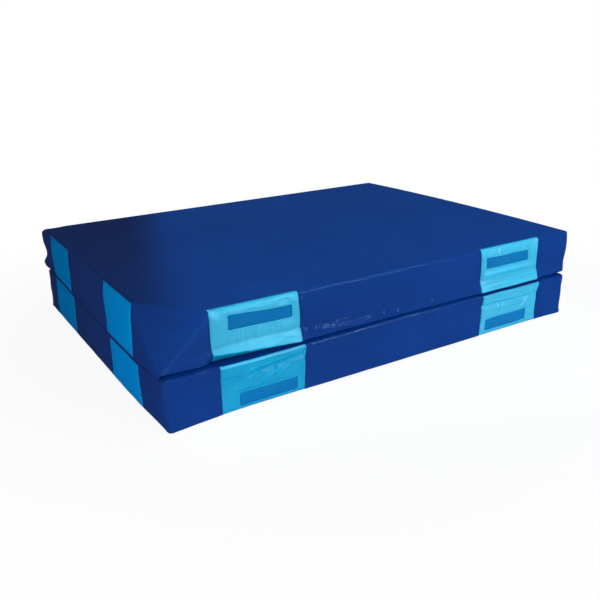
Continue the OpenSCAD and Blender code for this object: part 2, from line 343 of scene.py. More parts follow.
def rim_give(section, x, y, z):
    """Move of any point of the cover where the corners give way, fading out down the wall."""
    upper_drop, upper_round = tip_give(section, x, y, section.landing_up)
    lower_drop, lower_round = tip_give(section, x, y, not section.landing_up)
    share = z / HEIGHT
    up_x, up_y, up_z = rim_rounding(x, y, HEIGHT - z, upper_round)
    low_x, low_y, low_z = rim_rounding(x, y, z, lower_round)
    down = upper_drop * smooth((share - 0.3) / 0.7) + up_z
    lift = lower_drop * smooth(1 - share / 0.7) + low_z
    near_fold = share if section.landing_up else 1 - share
    sunk = sink(x, y) * smooth(near_fold / 0.9)
    toe, bow = 0.0, 0.0
    if section.landing_up:
        toe = hump(np.hypot(x + HALF_X, y + HALF_Y), 0.2) * hump(z, 80 * MM)
    else:
        bow = BOW * np.clip(1 - (y / HALF_Y) ** 2, 0, 1) * smooth(x / HALF_X) * smooth(share)
    return np.stack([up_x + low_x + TOE[0] * toe, up_y + low_y + TOE[1] * toe, lift - down - sunk + bow], -1)


def on_light(section, s, edge, spare=0.0):
    """1 on the front's light panels and 0 elsewhere. It changes over edge, from spare edges outside them."""
    share = np.zeros(np.shape(s))
    for index in (5, 7):
        low, high = section.ends[index], section.ends[index + 1]
        share += smooth((s - low) / edge + spare) * smooth((high - s) / edge + spare)
    return share


# How far from the upper landing rim the cover turns under, at both ends of the front left panel
NOSE = (38 * MM, 10 * MM)


def nose_height(section, s):
    return np.interp(s, section.ends[5:7], NOSE)


def panel_relief(section, s, landing, crease_z):
    """How far the wall stands out beside its foam: a strip under the crease, and where it turns under."""
    light, front = on_light(section, s, 60 * MM, 0.7), in_front(s)
    bevel_top = EDGE + 6 * MM
    nose = bevel_top if section.landing_up else nose_height(section, s)
    fade = 0.6 * EDGE if section.landing_up else nose
    lean, tuck = (0.27, 0.38 * front) if section.landing_up else (0.29, 0.75 * light)
    over_nose = np.clip(crease_z - np.maximum(landing, nose), 0, None) * smooth(landing / fade)
    return lean * light * over_nose - tuck * np.clip(nose - landing, 0, None)


def in_front(s):
    """1 on the front wall and its corners, and 0 elsewhere."""
    return smooth((s - START_FRONT + ARC) / 0.05) * smooth((START_RIGHT - s) / 0.05)


def wall_relief(section, s, z):
    """Outward relief of the wall: foam lobes, the crease between them, folds, hems and seams."""
    landing = section.from_landing(z)
    base = HEIGHT - landing
    inner = off_rims(z, EDGE)
    light, front = on_light(section, s, 10 * MM), in_front(s)
    crease_z = TOPPER + 2.5 * MM * np.sin(9 * s + 1) + 1.5 * MM * np.sin(23 * s)
    if section.landing_up:
        drop = 7 - 22 * np.clip((s - section.ends[5]) / 0.35, 0, 1)
        crease_z += light * drop * MM * (s < section.ends[6])
    # The core's lobe, the topper's edge, and the crease between them
    lobe = np.clip((landing - crease_z) / (HEIGHT - crease_z), 0, 1)
    out = (2.5 + 1.5 * front) * MM * np.sin(math.pi * lobe) * inner
    out += (2 + 4 * front) * MM * np.clip(1 - landing / crease_z, 0, 1) * smooth(landing / (0.7 * EDGE))
    out += panel_relief(section, s, landing, crease_z)
    deep = 1 + 0.35 * np.sin(5 * s) + 0.25 * np.sin(14 * s + 2)
    out -= (0.4 + 0.5 * front + 1.3 * light) * MM * deep * hump(landing - crease_z, 6 * MM) * inner
    # The seam beside the base rim, the lower foot on the floor and the upper light panels' top edge
    out -= (0.5 + 0.9 * light) * MM * hump(base - 20 * MM, 4 * MM)
    if section.landing_up:
        out += 5 * MM * (1 - light) * hump(z, 26 * MM) * smooth(z / (0.6 * EDGE))
    else:
        out -= 5.5 * MM * light * np.clip(1 - base / (22 * MM), 0, 1)
    out += ripple(section.random(7), s, z, 24, 0.12, 0.7 * MM) * inner
    out += sum(fold(s, z, row, 2.0) for row in FOLDS[section.name]) * inner
    out += sum(fold(s, z, row, 1.15) for row in PLEATS[section.name]) * smooth(z / (0.8 * EDGE))
    for place, height, reach, rise, size in BULGES[section.name]:
        out += size * MM * hump(s - place, reach) * hump(z - height, rise) * inner
    # Flat round the zip, and a raised frame round each vent
    out *= 1 - np.where(on_back_wall(s), hump(z - section.zip_z, 30 * MM), 0)
    for vent in section.vents:
        away = beside(vent, s, z)
        out = out * (1 - 0.6 * smooth(1 - away / (30 * MM))) + 0.9 * MM * smooth(1 - away / (9 * MM))
    # Each seam is a groove, with a hem on the light panel beside it
    for index, end in enumerate(section.ends):
        side = -1 if index and PANELS[index - 1].endswith("_panel") else 1
        hem = smooth(side * (s - end) / (3 * MM)) * smooth(1 - (side * (s - end) - 9 * MM) / (4 * MM))
        out += 0.8 * MM * hem * inner
        out -= 1.4 * MM * hump(s - end, SEAM_REACH * 0.7) * smooth(inner * 4)
    return out


def side_slip(section, s, z):
    """Sideways wander of the wall, which makes the sewn edges of the panels wavy."""
    slip = ripple(section.random(17), s, z, 10, 0.25, 2.0 * MM) * off_rims(z, 2 * EDGE)
    share = z / HEIGHT
    for place, low_slip, high_slip, reach in SLIPS[section.name]:
        slip += (low_slip * (1 - share) + high_slip * share) * MM * hump(s - place, reach)
    return slip


def height_slip(section, s, z):
    """Upward wander of the wall, which sets the vent windows a little askew."""
    slip = np.zeros(np.shape(s))
    for place, height, size in LIFTS[section.name]:
        slip += size * MM * hump(s - place, 0.11) * hump(z - height, 45 * MM)
    return slip * off_rims(z, 2 * EDGE)


# Where a seam sits off its place: place, slip at the bottom and at the top in millimetres, and reach
SLIPS = {
    "upper": (
        (on_front(-0.64), 18, 9, 0.35),
        (on_front(-0.64), -7, -7, 0.12),
        (on_front(0.62), 14, 8, 0.30),
        (on_front(0.68), 5, 5, 0.10),
        (on_left(-0.42), -60, -10, 0.28),
        (on_left(0.38), -45, 0, 0.10),
    ),
    "lower": (
        (on_front(-0.62), 8, 10, 0.35),
        (on_front(-0.72), 8, 8, 0.07),
        (on_front(0.64), 4, 8, 0.30),
        (on_front(0.67), 9, 9, 0.12),
        (on_left(-0.53), 4, 0, 0.12),
    ),
}

# Where the cover has been pulled up or down: place, height, and size in millimetres
LIFTS = {
    "upper": (
        (on_front(-0.76), 0.155, 8), (on_front(-0.52), 0.155, -5),
        (on_front(0.57), 0.155, -6), (on_front(0.80), 0.155, -12),
    ),
    "lower": ((on_front(0.57), 0.050, 9), (on_front(0.79), 0.050, 12)),
}

# Where the cover bulges or sinks: place, height, reach along and up the wall, and size in millimetres
BULGES = {
    "upper": (
        (START_LEFT - ARC / 2, 0.034, 0.05, 0.022, 15),
        (START_LEFT - ARC / 2, 0.090, 0.06, 0.026, -5),
        (START_LEFT - ARC / 2, 0.165, 0.08, 0.040, 7),
    ),
    "lower": ((on_front(-0.63), 0.125, 0.18, 0.050, 12),),
}

# Broad pleats with flat flanks on the front wall: where each starts and ends, as places along X and
# heights, then its width and its height in millimetres
PLEATS = {
    "upper": (
        (-0.45, 0.042, -0.09, 0.012, 31, 12), (-0.46, 0.012, -0.31, 0.008, 14, 6),
        (-0.085, 0.034, -0.055, 0.022, 20, 7), (-0.012, 0.016, 0.012, 0.026, 24, 8.5),
        (0.120, 0.018, 0.140, 0.020, 17, 6), (0.168, 0.022, 0.192, 0.026, 21, 7.5),
    ),
    "lower": (),
}

# Folds of the front wall, given one by one, laid down as the pleats are
FOLDS = {
    "upper": (
        (-0.40, 0.036, -0.36, 0.068, 12, 4), (-0.34, 0.058, -0.18, 0.044, 12, 4),
        (-0.32, 0.034, -0.27, 0.062, 12, 4), (-0.25, 0.020, -0.13, 0.030, 12, 2),
        (-0.24, 0.054, -0.13, 0.058, 13, 5), (-0.60, 0.024, -0.50, 0.046, 13, 1.5),
        (-0.56, 0.052, -0.47, 0.034, 13, 1.5), (0.46, 0.086, 0.79, 0.082, 15, 9),
        (0.47, 0.052, 0.80, 0.044, 15, 9), (0.48, 0.030, 0.66, 0.034, 12, 5),
        (0.55, 0.155, 0.56, 0.190, 13, 7), (0.70, 0.160, 0.705, 0.190, 13, 6),
    ),
    "lower": (
        (-0.77, 0.110, -0.66, 0.158, 16, 7), (-0.73, 0.084, -0.62, 0.142, 14, 7),
        (-0.67, 0.080, -0.56, 0.138, 15, 8), (-0.60, 0.078, -0.51, 0.150, 14, 7),
        (-0.79, 0.148, -0.48, 0.170, 16, 6), (-0.475, 0.040, -0.47, 0.120, 12, 5),
        (0.46, 0.154, 0.80, 0.148, 15, 9), (0.48, 0.120, 0.74, 0.124, 14, 7),
        (0.56, 0.100, 0.58, 0.180, 13, 6), (0.70, 0.085, 0.79, 0.170, 14, 8),
        (0.76, 0.020, 0.81, 0.110, 14, 8), (-0.94, 0.150, -0.84, 0.168, 14, 4),
        (-0.45, 0.180, -0.06, 0.184, 12, 3.5), (0.07, 0.166, 0.16, 0.166, 12, 5),
    ),
}

# ---------------------------------------------------------------- the wall's grid


def column_step(s):
    """The finest columns are in the front wall, and the coarsest ones in the back wall."""
    if START_FRONT - ARC < s < START_RIGHT:
        return FRONT_STEP
    if START_LEFT - ARC < s < START_BACK - ARC:
        return SIDE_STEP
    return BACK_STEP


def lines_through(stops, step):
    """The stops, with evenly spaced lines between them, no more than step apart."""
    found = []
    stops = sorted(stops)
    for low, high in zip(stops, stops[1:]):
        most = step((low + high) / 2) if callable(step) else step
        count = max(1, math.ceil((high - low) / most - 1e-6))
        found += [low + (high - low) * i / count for i in range(count)]
    return np.array(found + [stops[-1]])


def thinned(stops):
    """Sorted stops without repeats."""
    kept = []
    for stop in sorted(stops):
        if not kept or stop - kept[-1] > 1e-5:
            kept.append(stop)
    return kept


def grid_stops(section):
    """Columns and rows that the panels' seams, the vents and the zip's slot need."""
    columns = [end + reach for end in section.ends for reach in (-SEAM_REACH, 0, SEAM_REACH)]
    for start in (START_LEFT, START_FRONT, START_RIGHT, START_BACK - OUTLINE):
        columns += [start - ARC * share for share in (0, 0.17, 0.33, 0.5, 0.67, 0.83, 1)]
    columns += [on_back(section.zip_half), on_back(-section.zip_half)]
    rows = [ROLL * share for share in (0, 0.25, 0.5, 0.75, 1)]
    rows += [RISE - row for row in rows]
    rows += [up_wall(section.crease) + d * MM for d in (-14, -5, 0, 5, 14)]
    rows += [up_wall(section.zip_z - SLOT_HALF), up_wall(section.zip_z + SLOT_HALF)]
    for low, high, bottom, top in section.vents:
        columns += [low, high]
        rows += [up_wall(bottom), up_wall(top)]
    first, last = section.ends[0] - 1e-6, section.ends[-1] + 1e-6
    return [c for c in thinned(columns) if first <= c <= last], thinned(rows)


# How the slack cloth is simulated: its frames, how firmly seams and vents hold it, and its settings
SLACK_FRAMES = 18
SEAM_HOLD = 0.7
VENT_HOLD = 0.6
CLOTH = {
    "quality": 5,
    "mass": 0.4,
    "tension_stiffness": 25,
    "compression_stiffness": 25,
    "shear_stiffness": 10,
    "bending_stiffness": 0.6,
    "vertex_group_mass": "held",
    "use_pressure": True,
    "uniform_pressure_force": 3.0,
    "shrink_min": -0.012,
}


def slack(points, pinned):
    """Simulates the wall as slack cloth under a little pressure and returns how far each point moved."""
    cloth = bpy.data.objects.new("slack", grid_mesh(points, closed=True))
    scene = bpy.context.scene
    scene.collection.objects.link(cloth)
    group = cloth.vertex_groups.new(name="held")
    for weight in np.unique(pinned[pinned > 0]):
        group.add(np.flatnonzero(pinned[:-1].ravel() == weight).tolist(), float(weight), "REPLACE")
    modifier = cloth.modifiers.new("cloth", "CLOTH")
    for key, value in CLOTH.items():
        setattr(modifier.settings, key, value)
    modifier.settings.effector_weights.gravity = 0.15
    modifier.collision_settings.use_collision = False
    scene.frame_start, scene.frame_end = 1, SLACK_FRAMES
    modifier.point_cache.frame_start, modifier.point_cache.frame_end = 1, SLACK_FRAMES
    for number in range(1, SLACK_FRAMES + 1):
        scene.frame_set(number)
    shaped = cloth.evaluated_get(bpy.context.evaluated_depsgraph_get())
    moved = np.zeros(points[:-1].size)
    shaped.data.vertices.foreach_get("co", moved)
    moved = moved.reshape(points[:-1].shape)
    scene.frame_set(1)
    bpy.data.meshes.remove(cloth.data)
    return np.concatenate([moved, moved[:1]]) - points


# How far the middle of a base rim's roll stands out, which makes the roll tighter than its CAD radius
TIGHT = 3.2 * MM
# How far the middle of a vertical corner stands out, which makes it sharper than its CAD radius
CORNER_OUT = 7.5 * MM
# The most that a back wall bulges, so that both stop short of the fold's axis when the mat lies open
BACK_OUT = 7.5 * MM
# The most that the simulated cloth may move outwards and inwards
SLACK_OUT = 8 * MM
SLACK_IN = 2 * MM


def corner_share(section, s):
    """1 in the middle of each rounded corner of the outline but a collapsed one, 0 where its arc ends."""
    share = np.zeros(np.shape(s))
    starts = [START_LEFT, START_RIGHT, START_BACK, START_BACK - OUTLINE]
    if not CUTS[section.name]:
        starts.append(START_FRONT)
    for start in starts:
        share += np.clip(1 - np.abs(s - start + ARC / 2) / (ARC / 2), 0, 1)
    return share


def soften(distance, low, high):
    """Keeps a distance between -low and high, bending smoothly towards both."""
    return np.where(distance > 0, high * np.tanh(distance / high), low * np.tanh(distance / low))


def new_mesh(vertices, faces):
    mesh = bpy.data.meshes.new("piece")
    mesh.from_pydata(vertices.tolist(), [], faces)
    return mesh


def grid_faces(across, up):
    """The quads of a grid of points, one for each cell, as the numbers of their corners."""
    first = np.arange(across - 1)[:, None] * up + np.arange(up - 1)
    return np.stack([first, first + up, first + up + 1, first + 1], -1)


def grid_mesh(points, closed=False):
    """A mesh of quads over a grid of points. A closed grid's last column is its first one."""
    kept = (points[:-1] if closed else points).reshape(-1, 3)
    faces = grid_faces(*points.shape[:2]).reshape(-1, 4) % len(kept)
    return new_mesh(kept, faces.tolist())


def simulated(section, s, z, plain, facing):
    """How far slack cloth moves from the plain wall, less where it is sewn, taut or over the zip."""
    pinned = np.zeros(s.shape)
    for end in section.ends:
        pinned[np.abs(section.columns - end) < 1 * MM, :] = SEAM_HOLD
    for vent in section.vents:
        pinned[beside(vent, s, z) < 8 * MM] = VENT_HOLD
    pinned[:, (section.rows < ROLL * 0.9) | (section.rows > RISE - ROLL * 0.9)] = 1
    moved = slack(plain, pinned)
    outward = (moved * facing).sum(-1)
    moved += facing * (soften(outward, SLACK_IN, SLACK_OUT) - outward)[..., None]
    over_zip = np.clip(1.15 * hump(z - section.zip_z, 34 * MM) + 0.5, 0, 1)
    taut = on_light(section, s, 60 * MM, 0.7)
    if not section.landing_up:
        taut = np.maximum(taut, smooth((s - on_front(-0.5)) / 0.1) * smooth((on_front(0.5) - s) / 0.1))
    strip = smooth((TOPPER + 22 * MM - section.from_landing(z)) / (44 * MM))
    calm = np.maximum(np.where(on_back_wall(s), over_zip, 0), 0.8 * taut * strip)
    return moved * (1 - calm)[..., None]


def build_wall(section):
    """Works out the cover's wall: the grid lines and the place of each grid point."""
    column_stops, row_stops = grid_stops(section)
    section.columns = lines_through(column_stops, column_step)
    section.rows = lines_through(row_stops, ROW_STEP)
    s, t = np.meshgrid(section.columns, section.rows, indexing="ij")
    plain, facing = wall_point(s, t)
    z = plain[..., 2].copy()
    along = np.stack([-facing[..., 1], facing[..., 0], np.zeros_like(z)], -1)
    along /= np.maximum(np.linalg.norm(along[..., :2], axis=-1), 1e-9)[..., None]
    outward = np.stack([along[..., 1], -along[..., 0], np.zeros_like(z)], -1)
    points = plain.copy()
    points += simulated(section, s, z, plain, facing)
    points += outward * wall_relief(section, s, z)[..., None]
    tilt = profile(t)[2]
    base_roll = tilt < 0 if section.landing_up else tilt > 0
    loose = 1 - smooth((s - START_FRONT) / 0.1) * smooth((START_RIGHT - ARC - s) / 0.1)
    points += facing * (TIGHT * loose * np.sin(2 * np.abs(tilt)) * base_roll)[..., None]
    points += along * side_slip(section, s, z)[..., None]
    points[..., 2] += height_slip(section, s, z)
    points += rim_give(section, plain[..., 0], plain[..., 1], z)
    points += outward * (CORNER_OUT * corner_share(section, s) * np.cos(tilt))[..., None]
    behind = np.clip(points[..., 1] - HALF_Y, 0, None)
    points[..., 1] += BACK_OUT * np.tanh(behind / BACK_OUT) - behind
    section.points = press(section, points)
    section.points[..., 2] += section.z0


def on_wall(section, s, t, lift=0.0):
    """Places on the finished wall, by interpolation on its grid, raised by lift along its normal."""
    columns, rows, grid = section.columns, section.rows, section.points
    s, t = np.broadcast_arrays(np.asarray(s, float), np.asarray(t, float))
    i = np.clip(np.searchsorted(columns, s) - 1, 0, len(columns) - 2)
    j = np.clip(np.searchsorted(rows, t) - 1, 0, len(rows) - 2)
    u = ((s - columns[i]) / (columns[i + 1] - columns[i]))[..., None]
    v = ((t - rows[j]) / (rows[j + 1] - rows[j]))[..., None]
    low = grid[i, j] * (1 - u) + grid[i + 1, j] * u
    high = grid[i, j + 1] * (1 - u) + grid[i + 1, j + 1] * u
    side = (grid[i + 1, j] - grid[i, j]) * (1 - v) + (grid[i + 1, j + 1] - grid[i, j + 1]) * v
    normal = unit(np.cross(side, high - low))
    return low * (1 - v) + high * v + normal * lift, normal


def unit(vectors):
    return vectors / np.linalg.norm(vectors, axis=-1)[..., None]


# ---------------------------------------------------------------- making pieces


def link(obj):
    bpy.context.scene.collection.objects.link(obj)
    return obj


def make_piece(name, mesh, slot, *materials, smooth_faces=True):
    obj = link(bpy.data.objects.new(name, mesh))
    for material in materials:
        mesh.materials.append(material)
    if smooth_faces:
        mesh.polygons.foreach_set("use_smooth", np.ones(len(mesh.polygons), bool))
    return obj


def add_piece(section, name, mesh, slot, *materials, node=None, smooth_faces=True):
    """Makes a piece of a section, which rides on its body and stands for one of its CAD nodes."""
    obj = make_piece(f"{section.name}_{name}", mesh, slot, *materials, smooth_faces=smooth_faces)
    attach(obj, section.name)
    if node:
        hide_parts(f"{section.name}_{node}")
    return obj


def thicken(obj, thickness=SHEET):
    """Rounds a sheet once by subdivision, and gives it its fabric's thickness, inwards."""
    rounder = obj.modifiers.new("round", "SUBSURF")
    rounder.levels = rounder.render_levels = 1
    rounder.boundary_smooth = "PRESERVE_CORNERS"
    shell = obj.modifiers.new("thickness", "SOLIDIFY")
    shell.thickness = thickness
    shell.offset = -1


def set_uv(mesh, u, v):
    """Gives each corner of the mesh the UV of its vertex, in metres."""
    layer = mesh.uv_layers.new(name="metres")
    index = np.zeros(len(mesh.loops), int)
    mesh.loops.foreach_get("vertex_index", index)
    uv = np.stack([u.ravel(), v.ravel()], -1)
    layer.data.foreach_set("uv", uv[index].astype(np.float32).ravel())


def patch(section, low, high, holes):
    """The mesh of the wall between two columns, without the cells that lie in a hole."""
    on = (section.columns >= low - 1e-6) & (section.columns <= high + 1e-6)
    columns, rows, points = section.columns[on], section.rows, section.points[on]
    s, t = ((columns[:-1] + columns[1:]) / 2)[:, None], (rows[:-1] + rows[1:]) / 2
    open_cell = np.zeros((len(columns) - 1, len(rows) - 1), bool)
    for left, right, bottom, top in holes:
        open_cell |= (s > left) & (s < right) & (t > up_wall(bottom)) & (t < up_wall(top))
    faces = grid_faces(len(columns), len(rows))[~open_cell]
    used, compact = np.unique(faces, return_inverse=True)
    mesh = new_mesh(points.reshape(-1, 3)[used], compact.reshape(-1, 4).tolist())
    u, v = np.meshgrid(columns, rows, indexing="ij")
    set_uv(mesh, u.ravel()[used], v.ravel()[used])
    return mesh


def quarter_disc(u, v):
    """Maps the unit square onto a quarter disc, so that its two far sides become the arc."""
    radius = np.maximum(u, v)
    share = np.where(u >= v, v / np.maximum(u, 1e-9) / 2, 1 - u / np.maximum(v, 1e-9) / 2)
    return radius * np.cos(share * math.pi / 2), radius * np.sin(share * math.pi / 2)


def mirrored_axis(straight, coarse_to, step, corner):
    """Grid lines across a sheet, closer near its ends, with five more in the rounded corner."""
    half = lines_through([0, straight - 0.22, straight], lambda v: step if v < coarse_to else step / 2)
    half = np.concatenate([half, straight + np.linspace(0, 1, 6)[1:] * corner])
    return np.concatenate([-half[:0:-1], half])


def sheet_grid(step, reach):
    """A grid over the rounded outline, out to reach inside the outer face."""
    corner = CORNER - reach
    axes = mirrored_axis(STRAIGHT_X, 0.7, step, corner), mirrored_axis(STRAIGHT_Y, 0.5, step, corner)
    x, y = np.meshgrid(*axes, indexing="ij")
    over_x = np.clip(np.abs(x) - STRAIGHT_X, 0, None) / corner
    over_y = np.clip(np.abs(y) - STRAIGHT_Y, 0, None) / corner
    round_x, round_y = quarter_disc(over_x, over_y)
    both = (over_x > 0) & (over_y > 0)
    x = np.where(both, np.sign(x) * (STRAIGHT_X + corner * round_x), x)
    y = np.where(both, np.sign(y) * (STRAIGHT_Y + corner * round_y), y)
    return x, y


def face_sheet(section, top, step, crown_height, tuck):
    """The mesh of a section's top or bottom sheet, which reaches a little way under the wall's rolls."""
    x, y = sheet_grid(step, EDGE - tuck)
    z = np.full(x.shape, HEIGHT if top else 0.0)
    out = 1 if top else -1
    give = rim_give(section, x, y, z)
    sag = give[..., 2] + crown_height * crown(x, y) * out
    rng = section.random(23)
    from_rim = np.minimum(HALF_X - np.abs(x), HALF_Y - np.abs(y))
    for _ in range(14 if crown_height else 0):
        wave = rng.uniform(-1, 1, 2) * 2 * math.pi / 0.35
        sag += 0.35 * MM * np.cos(wave[0] * x + wave[1] * y + rng.uniform(0, 6.28)) * smooth(from_rim / 0.12)
    sag -= 0.3 * (tuck - 1.5 * MM) * smooth(1 - (from_rim - EDGE + tuck) / (2 * tuck)) * out
    points = press(section, np.stack([x + give[..., 0], y + give[..., 1], z + sag], -1), 0.8 * MM)
    points[..., 2] += section.z0 - 0.4 * MM * out
    mesh = grid_mesh(points[::out])
    set_uv(mesh, x[::out], y[::out])
    return mesh


def sweep(lines, sides, half_width, half_thick):
    """One mesh of flat tubes. Each line is (points, side directions, outward directions)."""
    turns = [2 * math.pi * (k + 0.5) / sides for k in range(sides)]
    vertices, faces, base = [], [], 0
    for points, side, outward in lines:
        ring = [points + side * half_width * math.cos(a) + outward * half_thick * math.sin(a) for a in turns]
        vertices.append(np.stack(ring, 1).reshape(-1, 3))
        last = base + (len(points) - 1) * sides
        for a in range(base, last, sides):
            for k in range(sides):
                n = (k + 1) % sides
                faces.append((a + k, a + sides + k, a + sides + n, a + n))
        faces.append(tuple(range(base, base + sides)))
        base = last + sides
        faces.append(tuple(range(base - 1, last - 1, -1)))
    return new_mesh(np.concatenate(vertices), faces)


def bar(ends, side):
    """A straight line to sweep, which faces the back."""
    points = np.array(ends, float)
    return points, np.tile(side, (len(points), 1)), np.tile((0, 1, 0), (len(points), 1))


def stitch_lines(section, path, pitch=7 * MM):
    """Short threads along a path of (s, t) points on the wall, each raised in its middle."""
    path = np.array(path, float)
    length = np.concatenate([[0], np.cumsum(np.linalg.norm(np.diff(path, axis=0), axis=1))])
    count = int(length[-1] / pitch)
    starts = (np.arange(count) + 0.5) * length[-1] / count
    along = starts[:, None] + np.array([-0.34, 0, 0.34]) * pitch
    s, t = (np.interp(along, length, path[:, axis]) for axis in (0, 1))
    points, normal = on_wall(section, s, t)
    points = points + normal * np.array([-0.3, 0.45, -0.3])[:, None] * MM
    side = np.cross(unit(points[:, 2:] - points[:, :1]), normal)
    return list(zip(points, side, normal))


# ---------------------------------------------------------------- materials


class Nodes:
    """Short calls for building a node tree."""

    def __init__(self, name):
        self.material = bpy.data.materials.new(name)
        self.material.use_nodes = True
        self.tree = self.material.node_tree
        self.surface = self.tree.nodes["Principled BSDF"]
        self.place = self.add("TexCoord").outputs["Object"]

    def put(self, value, socket):
        if isinstance(value, bpy.types.NodeSocket):
            self.tree.links.new(value, socket)
        else:
            socket.default_value = value

    def add(self, kind, values=None, **settings):
        node = self.tree.nodes.new("ShaderNode" + kind)
        for key, value in settings.items():
            setattr(node, key, value)
        for key, value in (values or {}).items():
            self.put(value, node.inputs[key])
        return node

    def math(self, operation, a, b=0.0, c=0.0):
        return self.add("Math", {0: a, 1: b, 2: c}, operation=operation).outputs[0]

    def mix(self, share, a, b):
        return self.add("Mix", {0: share, 6: a, 7: b}, data_type="RGBA").outputs[2]

    def noise(self, where, scale, detail, roughness):
        values = {"Vector": where, "Scale": scale, "Detail": detail, "Roughness": roughness}
        return self.add("TexNoise", values).outputs["Fac"]

    def ramp(self, value, low, high, to_low=0.0, to_high=1.0):
        values = {"Value": value, "From Min": low, "From Max": high, "To Min": to_low, "To Max": to_high}
        return self.add("MapRange", values).outputs["Result"]

    def bump(self, height, strength, distance, under=None):
        values = {"Height": height, "Strength": strength, "Distance": distance}
        if under is not None:
            values["Normal"] = under
        return self.add("Bump", values).outputs["Normal"]

    def set(self, **values):
        for key, value in values.items():
            self.put(value, self.surface.inputs[key.replace("_", " ")])


def rgb(red, green, blue):
    """A colour given in sRGB from 0 to 255, as the linear colour that a shader takes."""
    linear = [c / 255 / 12.92 if c <= 10 else ((c / 255 + 0.055) / 1.055) ** 2.4 for c in (red, green, blue)]
    return (*linear, 1.0)


def coated_fabric(name, colours, gloss=0.022, sharp=0.12, grain=1.0):
    """PVC-coated fabric: a pebbled skin over a woven scrim, scuffed and a little uneven in colour.

    Its gloss is a weak coat with a high index, so that it hardly grows at a low angle.
    """
    n = Nodes(name)
    metres = n.add("UVMap", uv_map="metres").outputs["UV"]
    patches = n.noise(n.place, 2.6, 3, 0.55)
    flattened = n.add("Mapping", {"Vector": n.place, "Scale": (9, 9, 26)}).outputs[0]
    scuffed = n.ramp(n.noise(flattened, 3.0, 6, 0.65), 0.60, 0.78)
    even = n.mix(n.ramp(patches, 0.3, 0.7), *colours)
    worn = n.mix(n.math("MULTIPLY", scuffed, 0.03), even, rgb(150, 175, 215))
    skin = n.add("TexVoronoi", {"Vector": n.place, "Scale": 560.0}, feature="SMOOTH_F1")
    split = n.add("SeparateXYZ", {0: metres}).outputs
    threads = 2 * math.pi / (2.2 * MM)
    warp = n.math("SINE", n.math("MULTIPLY", split[0], threads))
    weft = n.math("SINE", n.math("MULTIPLY", split[1], threads))
    weave = n.math("MULTIPLY", warp, weft)
    relief = n.bump(weave, 0.10 * grain, 0.25 * MM)
    relief = n.bump(skin.outputs["Distance"], 0.14 * grain, 0.35 * MM, relief)
    relief = n.bump(n.noise(n.place, 22.0, 4, 0.6), 0.25, 1.2 * MM, relief)
    rough = n.ramp(n.noise(n.place, 7.0, 4, 0.6), 0.25, 0.75, 0.42, 0.62)
    n.set(Base_Color=worn, Roughness=n.math("MULTIPLY_ADD", scuffed, 0.12, rough), Normal=relief)
    n.set(Specular_IOR_Level=0.0, Coat_Weight=gloss, Coat_Roughness=sharp, Coat_IOR=4.0)
    n.set(Coat_Normal=n.bump(n.noise(n.place, 30.0, 4, 0.6), 0.3, 1.0 * MM))
    return n.material


def woven(name, colours, pitch, roughness=0.7):
    """A woven tape or thread: fine warp and weft, with a soft sheen."""
    n = Nodes(name)
    cells = n.add("TexVoronoi", {"Vector": n.place, "Scale": 1 / pitch}).outputs["Distance"]
    fuzz = n.noise(n.place, 240.0, 3, 0.6)
    n.set(Base_Color=n.mix(n.ramp(fuzz, 0.35, 0.7), *colours), Roughness=roughness)
    n.set(Normal=n.bump(cells, 0.5, pitch / 2), Specular_IOR_Level=0.08)
    n.set(Sheen_Weight=0.02, Sheen_Roughness=0.4)
    return n.material


def foam(name, colours):
    """Open-cell foam: small dark pores in a matt body."""
    n = Nodes(name)
    pores = n.add("TexVoronoi", {"Vector": n.place, "Scale": 420.0}).outputs["Distance"]
    n.set(Base_Color=n.mix(n.ramp(pores, 0.1, 0.5), *colours), Roughness=0.95)
    n.set(Normal=n.bump(pores, 0.7, 1 * MM))
    return n.material


def moulded(name, colour):
    """Moulded plastic with faint flow marks."""
    n = Nodes(name)
    flow = n.noise(n.place, 180.0, 3, 0.5)
    n.set(Base_Color=n.mix(n.ramp(flow, 0.3, 0.8), colour, tuple(min(1, c * 1.7) for c in colour)))
    n.set(Roughness=n.ramp(flow, 0.3, 0.7, 0.35, 0.47), Normal=n.bump(flow, 0.15, 0.2 * MM))
    return n.material


def plated_metal(name, colour):
    """Nickel-plated zinc: brushed along its length, with darker worn spots."""
    n = Nodes(name)
    brushed = n.noise(n.add("Mapping", {"Vector": n.place, "Scale": (40, 900, 900)}).outputs[0], 6.0, 4, 0.6)
    worn = n.noise(n.place, 260.0, 5, 0.65)
    n.set(Base_Color=n.mix(n.ramp(worn, 0.5, 0.72), colour, rgb(92, 90, 86)), Metallic=1.0)
    n.set(Roughness=n.ramp(brushed, 0.3, 0.7, 0.2, 0.38), Normal=n.bump(brushed, 0.12, 0.1 * MM))
    return n.material


# Each fabric drifts between a deeper and a paler colour.
NAVY = rgb(0, 54, 125), rgb(1, 58, 131)
LIGHT = rgb(0, 172, 207), rgb(12, 181, 213)
# Deeper than the light fabric: painted shade for the lower front left panel
DULL_SHADED = rgb(0, 154, 194), rgb(0, 166, 204)
# Darker than the light fabric, for where a front panel turns under: painted shade
UNDER_SHADE = rgb(0, 136, 174), rgb(0, 146, 182)
SIDE = rgb(0, 158, 226), rgb(0, 166, 232)

